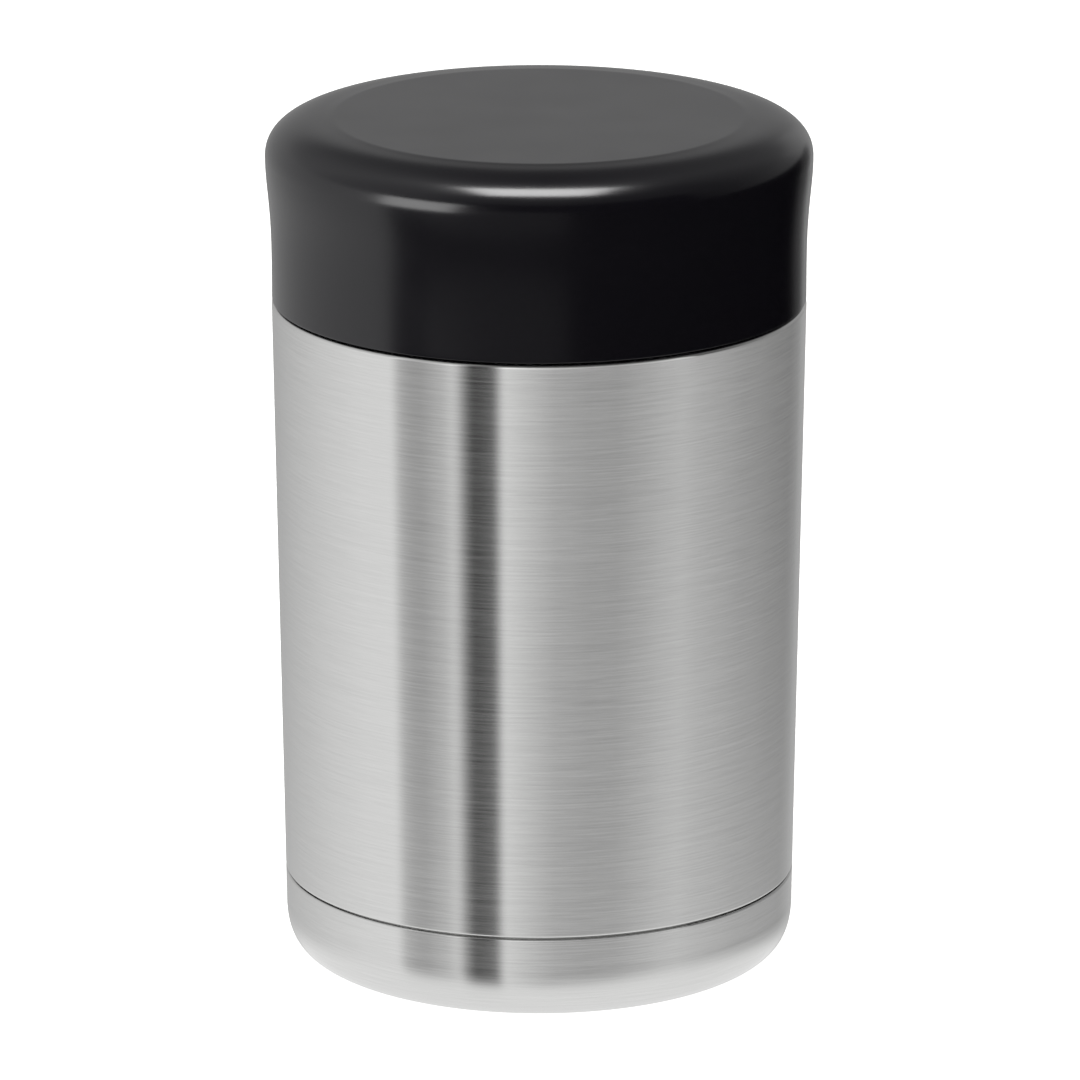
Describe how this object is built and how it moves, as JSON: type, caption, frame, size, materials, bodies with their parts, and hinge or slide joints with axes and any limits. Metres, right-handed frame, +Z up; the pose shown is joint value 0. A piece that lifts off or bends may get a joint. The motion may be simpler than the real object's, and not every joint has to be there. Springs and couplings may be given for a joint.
{
  "type": "insulated food jar",
  "caption": "Double-walled steel food jar with a screw-in insulated stopper, a push valve to let steam out, and a screw-on cup lid.",
  "frame": {"origin": "middle of the flat ring under the base cup, on the surface that the jar stands on", "axes": "+Z up along the jar's axis; +X along the getter's side and the stopper's grip bar; +Y away from the picture's viewer"},
  "size_m": [0.1, 0.1, 0.159],
  "materials": {
    "brushed_steel": "satin",
    "vessel_steel": "matte",
    "copper_foil": "gloss",
    "sealing_glass": "gloss",
    "getter_alloy": "matte",
    "spring_steel": "gloss",
    "lid_plastic": "satin",
    "stopper_plastic": "satin",
    "silicone": "matte",
    "foam": "matte"
  },
  "bodies": {
    "jar": {"outer_shell": "brushed_steel", "inner_vessel": "vessel_steel", "vacuum_plate": "vessel_steel", "seal_bead": "sealing_glass", "getter": "getter_alloy", "getter_clip": "spring_steel", "radiation_foil": "copper_foil", "base_cup": "brushed_steel"},
    "stopper_lifter": {"stopper_foam": "foam"},
    "stopper_riser": {"stopper_seal": "silicone"},
    "stopper": {"stopper_body": "stopper_plastic", "stopper_cover": "stopper_plastic", "valve_spring": "spring_steel"},
    "push_valve": {"valve_stem": "stopper_plastic", "valve_button": "lid_plastic", "valve_seal": "silicone"},
    "lid_lifter": {"lid_foam": "foam"},
    "lid_riser": {"lid_gasket": "silicone"},
    "lid": {"lid_shell": "lid_plastic", "lid_cup": "lid_plastic"}
  },
  "joints": [
    {"name": "stopper_lift", "type": "slide", "parent": "jar", "child": "stopper_lifter", "axis": [0, 0, 1], "range_m": [0, 0.055]},
    {"name": "stopper_rise", "type": "slide", "parent": "stopper_lifter", "child": "stopper_riser", "axis": [0, 0, 1], "range_m": [0, 0.004]},
    {"name": "stopper_turn", "type": "hinge", "parent": "stopper_riser", "child": "stopper", "pos_m": [0, 0, 0.143], "axis": [0, 0, 1], "range_deg": [0, 360]},
    {"name": "valve_press", "type": "slide", "parent": "stopper", "child": "push_valve", "axis": [0, 0, -1], "range_m": [0, 0.002], "stiffness_N_per_m": 400, "springref_m": -0.0008, "deforming": ["valve_spring"]},
    {"name": "lid_lift", "type": "slide", "parent": "stopper_riser", "child": "lid_lifter", "axis": [0, 0, 1], "range_m": [0, 0.065]},
    {"name": "lid_rise", "type": "slide", "parent": "lid_lifter", "child": "lid_riser", "axis": [0, 0, 1], "range_m": [0, 0.004]},
    {"name": "lid_turn", "type": "hinge", "parent": "lid_riser", "child": "lid", "pos_m": [0, 0, 0.1251], "axis": [0, 0, 1], "range_deg": [0, 360]}
  ],
  "couplings": [
    {"joint": "stopper_turn", "follows": "stopper_rise", "rad_per_m": 1570.8},
    {"joint": "lid_turn", "follows": "lid_rise", "rad_per_m": 1570.8}
  ]
}
